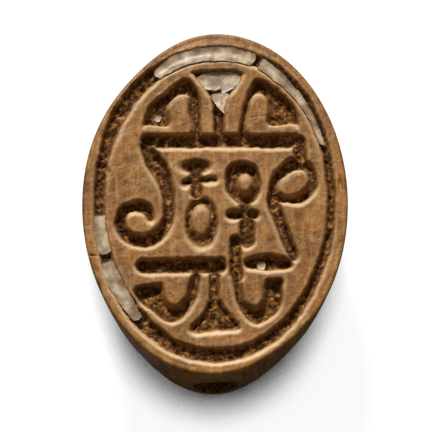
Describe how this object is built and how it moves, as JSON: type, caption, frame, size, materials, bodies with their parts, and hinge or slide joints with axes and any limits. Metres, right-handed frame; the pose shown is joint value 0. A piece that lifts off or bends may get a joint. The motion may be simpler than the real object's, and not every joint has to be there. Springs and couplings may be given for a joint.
{
  "type": "scaraboid seal",
  "caption": "Oval carved stone seal with a plain domed back, an engraved flat face inside a border groove, glaze remnants in the cuts, and a bore from end to end.",
  "frame": {"origin": "under the middle of the seal, on the surface that its back lies on", "axes": "+Z out of the engraved face, +Y along the bore towards the top end of the engraving, +X to the right of someone who reads the face"},
  "size_m": [0.0124, 0.0168, 0.0072],
  "materials": {
    "steatite": "carved, fired and worn to a waxy polish, rough in the cuts",
    "glaze": "thin weathered glaze, greyish, semi-gloss",
    "crust": "matte, chalky lime crust"
  },
  "bodies": {
    "root": {"steatite_body": "steatite", "glaze_right_border": "glaze", "glaze_top_border": "glaze", "glaze_left_border_upper": "glaze", "glaze_left_border_lower": "glaze", "glaze_top_notch": "glaze", "crust_in_fork": "crust", "glaze_chip_lower_groove": "glaze", "glaze_chip_upper_left": "glaze"}
  },
  "joints": []
}
